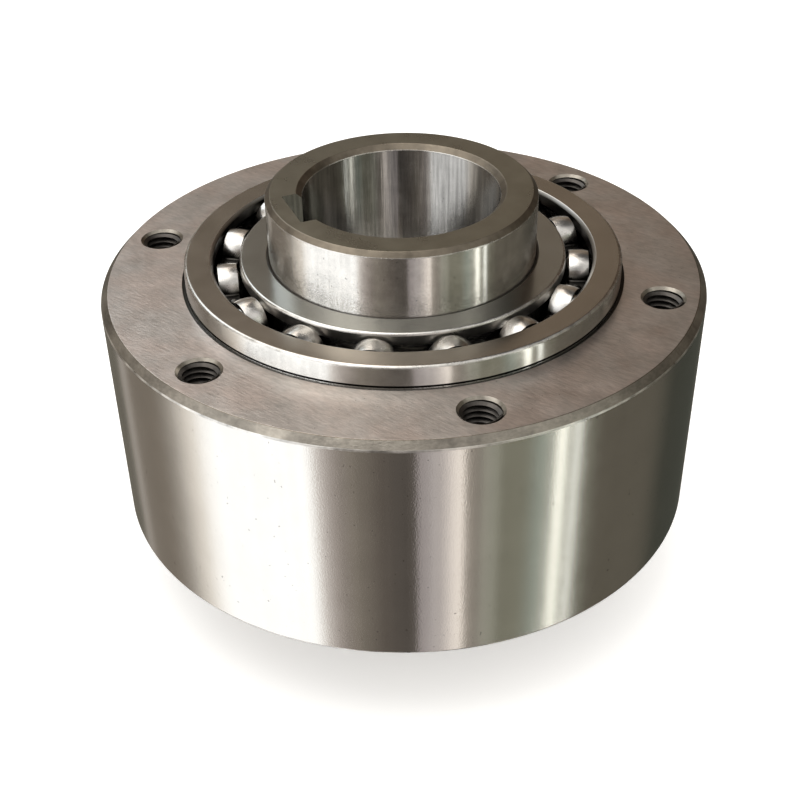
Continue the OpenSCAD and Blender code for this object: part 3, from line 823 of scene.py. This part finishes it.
class CLUTCH_OT_stage(Operator):
    """Sets the floor, the soft studio light and the camera"""

    bl_idname = "clutch.stage"
    bl_label = "Stage"

    def execute(self, context):
        studio = context.scene.clutch_studio
        self.lay_floor(studio)
        self.light_room(context, studio)
        leave_all()
        bpy.ops.object.light_add(type="AREA", location=(-0.25, -0.1, 1.1))
        top = bpy.context.active_object
        top.name = "overhead_softbox"
        top.data.shape = "SQUARE"
        top.data.size = studio.softbox_size
        top.data.energy = studio.softbox_power
        top.rotation_euler = (0, radians(-12), 0)
        leave_all()
        bpy.ops.object.camera_add()
        camera = bpy.context.active_object
        camera.name = "photo_angle"
        camera.matrix_world = (
            Matrix.Translation(Vector(studio.camera_place))
            @ Matrix.Rotation(studio.camera_azimuth, 4, "Z")
            @ Matrix.Rotation(pi / 2 - studio.camera_pitch, 4, "X")
            @ Matrix.Rotation(studio.camera_roll, 4, "Z"))
        camera.data.lens = studio.lens
        camera.data.sensor_width = 36
        camera.data.clip_start = 0.01
        # The picture is a part of a larger one, so the frame sits a little above the lens's axis
        camera.data.shift_x = 0.01875
        camera.data.shift_y = 0.1125
        context.scene.camera = camera
        context.scene.view_settings.view_transform = "Standard"
        return {"FINISHED"}

    def lay_floor(self, studio):
        """Lays a floor of matt paper under the clutch."""
        leave_all()
        bpy.ops.mesh.primitive_plane_add(size=studio.floor_size, location=(0, 0, -HUB_END))
        floor = bpy.context.active_object
        floor.name = floor.data.name = "pale_floor"
        paper = bpy.data.materials.new("matt_paper")
        paper.use_nodes = True
        tree = paper.node_tree
        tree.nodes.clear()
        # The floor is a light table: it glows a little, so the shadow under the clutch stays pale
        table = add(tree, "ShaderNodeBsdfPrincipled", {
            "Base Color": rgba(studio.floor), "Roughness": 0.9, "Specular IOR Level": 0.1,
            "Emission Color": rgba(studio.floor), "Emission Strength": studio.floor_glow})
        # The steel mirrors the room through the floor, except under the bore, where a dark disc is painted shade for
        # the shadow under the hub
        place = add(tree, "ShaderNodeTexCoord", out="Object")
        distance = add(tree, "ShaderNodeVectorMath", {0: place}, "Value", operation="LENGTH")
        outside = add(tree, "ShaderNodeMath", {0: distance, 1: 2 * BORE_RADIUS}, operation="GREATER_THAN")
        # Painted shade: a dark disc that the steel sees through the bore
        dark = add(tree, "ShaderNodeBsdfDiffuse", {"Color": rgba("#303030")})
        ground = add(tree, "ShaderNodeMixShader", {0: outside, 1: dark, 2: add(tree, "ShaderNodeBsdfTransparent")})
        in_steel = add(tree, "ShaderNodeLightPath", out="Is Glossy Ray")
        seen = add(tree, "ShaderNodeMixShader", {0: in_steel, 1: table, 2: ground})
        add(tree, "ShaderNodeOutputMaterial", {"Surface": seen})
        floor.data.materials.append(paper)

    def light_room(self, context, studio):
        """Lights the world: a room of walls and tall windows for the steel, and a pale backdrop for the camera."""
        world = bpy.data.worlds.new("studio_room")
        context.scene.world = world
        world.use_nodes = True
        tree = world.node_tree
        tree.nodes.clear()
        way = add(tree, "ShaderNodeMapping", {
            "Vector": add(tree, "ShaderNodeTexCoord", out="Generated"), "Rotation": (0, 0, -studio.room_turn)},
            vector_type="POINT")
        x, y, z = add(tree, "ShaderNodeSeparateXYZ", {"Vector": way}).node.outputs
        back = add(tree, "ShaderNodeMath", {0: y, 1: -1.0}, operation="MULTIPLY")
        azimuth = add(tree, "ShaderNodeMath", {0: x, 1: back}, operation="ARCTAN2")
        # Directions are degrees from the camera's side; the ramps run over a half or the whole of the round
        share = add(tree, "ShaderNodeMath", {0: azimuth, 1: 1 / (2 * pi), 2: 0.5}, operation="MULTIPLY_ADD")
        left_half = add(tree, "ShaderNodeMath", {0: share, 1: 2.0}, operation="MULTIPLY")
        right_half = add(tree, "ShaderNodeMath", {0: share, 1: 2.0, 2: -1.0}, operation="MULTIPLY_ADD")
        brown, warm, taupe, dun, umber = "#625c55", "#8d8883", "#46423f", "#685f55", "#3a2f25"
        lilac, cream, olive, moss, shade, black = "#949091", "#dad4d0", "#82837b", "#66665c", "#4b4841", "#30312c"
        # Panes, from dull to bright
        white, pane, glare, sky = "#eaedf1", "#f1f6f3", lit("#fcfff8", 1.07), lit("#edf7ff", 1.36)
        # Walls, curtains and tall windows round the clutch
        left = add(tree, "ShaderNodeValToRGB", {"Fac": left_half}, stops=by_angle(
            -180, 0, (-180, white), (-175, white), (-172, brown), (-165, shade), (-141, shade), (-136, warm),
            (-130, brown), (-110, brown), (-101, "#817d78"), (-89, "#cbc7c2"), (-80, white), (-38.5, white),
            (-35.5, "#c6c3c2"), (-32, "#9a9593"), (-28, "#7d7774"), (-21, "#69645e"), (-10, "#4d4844"), (-4, taupe),
            (0, taupe)))
        right = add(tree, "ShaderNodeValToRGB", {"Fac": right_half}, stops=by_angle(
            0, 180, (0, taupe), (2.5, taupe), (4.5, "#837e80"), (10, lilac), (15, "#a9a4a3"), (20.5, cream),
            (22.5, "#88837d"), (26, "#716c67"), (32, olive), (37, moss), (46, moss), (52, "#78807a"), (57.5, olive),
            (59.5, glare), (62, glare), (63.3, moss), (65.4, moss), (66.8, pane), (68.4, pane), (69.6, moss),
            (79, shade), (108, shade), (122, black), (150, black), (170, shade), (173, white), (180, white)))
        side = add(tree, "ShaderNodeMath", {0: share, 1: 0.5}, operation="GREATER_THAN")
        walls = add(tree, "ShaderNodeMix", {0: side, 6: left, 7: right}, 2, data_type="RGBA")
        # Folds in the curtains
        noise = add(tree, "ShaderNodeTexNoise", {"W": azimuth, "Scale": 26.0, "Detail": 2.0}, noise_dimensions="1D")
        folds = add(tree, "ShaderNodeValToRGB", {"Fac": noise}, stops=[(0.3, 0.84), (0.7, 1.12)])
        walls = add(tree, "ShaderNodeMix", {0: 1.0, 6: walls, 7: folds}, 2, data_type="RGBA", blend_type="MULTIPLY")
        # Above the horizon the wall behind the clutch is brown, with one high window at the left
        above = add(tree, "ShaderNodeMapRange", {"Value": z, "From Min": -0.05, "From Max": 0.05})
        behind = add(tree, "ShaderNodeMapRange", {"Value": y, "From Min": 0.3, "From Max": 0.5})
        high = add(tree, "ShaderNodeMapRange", {"Value": z, "From Min": 0.44, "From Max": 0.54})
        far_left = (-180, brown), (-165, brown)
        window = (-157, sky), (-120, sky), (-110, brown)
        far_right = (110, brown), (135, umber), (158, umber), (165, dun), (176, dun), (180, brown)
        upper = add(tree, "ShaderNodeValToRGB", {"Fac": share}, stops=by_angle(
            -180, 180, *far_left, *window, *far_right))
        lower = add(tree, "ShaderNodeValToRGB", {"Fac": share}, stops=by_angle(-180, 180, *far_left, *far_right))
        far_wall = add(tree, "ShaderNodeMix", {0: high, 6: lower, 7: upper}, 2, data_type="RGBA")
        plain = add(tree, "ShaderNodeMath", {0: above, 1: behind}, operation="MULTIPLY")
        walls = add(tree, "ShaderNodeMix", {0: plain, 6: walls, 7: far_wall}, 2, data_type="RGBA")
        # The ceiling is lit from the windows at the left and dies away to the right
        ceiling = add(tree, "ShaderNodeValToRGB", {"Fac": share}, stops=by_angle(
            -180, 180, (-180, "#fff1e5"), (-150, "#f3f6f6"), (-120, 0.7), (-98, 0.4), (-88, 0.8), (-40, 0.8),
            (-30, 0.36), (-8, 0.24), (8, 0.24), (25, 0.42), (50, 0.36), (58, 0.5), (72, 0.5), (80, 0.38), (110, 0.16),
            (120, 0.04), (180, 0.04)))
        lift = add(tree, "ShaderNodeMapRange", {"Value": z, "From Min": 0.6, "From Max": 0.74},
                   interpolation_type="SMOOTHSTEP")
        room = add(tree, "ShaderNodeMix", {0: lift, 6: walls, 7: ceiling}, 2, data_type="RGBA")
        # Only the steel sees the room; the floor and the camera see an even pale backdrop
        seen = add(tree, "ShaderNodeBackground", {"Color": room, "Strength": studio.room_light})
        pale = add(tree, "ShaderNodeBackground", {"Color": rgba(studio.floor), "Strength": studio.floor_light})
        in_steel = add(tree, "ShaderNodeLightPath", out="Is Glossy Ray")
        add(tree, "ShaderNodeOutputWorld", {"Surface": add(
            tree, "ShaderNodeMixShader", {0: in_steel, 1: pale, 2: seen})})


class CLUTCH_PT_panel(Panel):
    """Lists the clutch's steps, sizes and colours"""

    bl_label = "Sprag Clutch"
    bl_idname = "CLUTCH_PT_panel"
    bl_space_type = "VIEW_3D"
    bl_region_type = "UI"
    bl_category = "Clutch"

    def draw(self, context):
        layout = self.layout
        for step in STEPS:
            layout.operator(step.bl_idname)
        for group in (context.scene.clutch_sizes, context.scene.clutch_finishes, context.scene.clutch_studio):
            box = layout.box()
            for name in group.__annotations__:
                box.prop(group, name)


STEPS = (
    CLUTCH_OT_finishes,
    CLUTCH_OT_outer_race,
    CLUTCH_OT_threads,
    CLUTCH_OT_hub,
    CLUTCH_OT_bearing_rings,
    CLUTCH_OT_ball_cages,
    CLUTCH_OT_stage,
)
CLASSES = (ClutchSizes, ClutchFinishes, ClutchStudio) + STEPS + (CLUTCH_PT_panel,)


def register():
    for kind in CLASSES:
        bpy.utils.register_class(kind)
    Scene.clutch_sizes = PointerProperty(type=ClutchSizes)
    Scene.clutch_finishes = PointerProperty(type=ClutchFinishes)
    Scene.clutch_studio = PointerProperty(type=ClutchStudio)


def unregister():
    del Scene.clutch_studio
    del Scene.clutch_finishes
    del Scene.clutch_sizes
    for kind in reversed(CLASSES):
        bpy.utils.unregister_class(kind)


def main():
    """Builds the clutch step by step."""
    register()
    for step in STEPS:
        group, name = step.bl_idname.split(".")
        getattr(getattr(bpy.ops, group), name)()


if __name__ == "__main__":
    main()
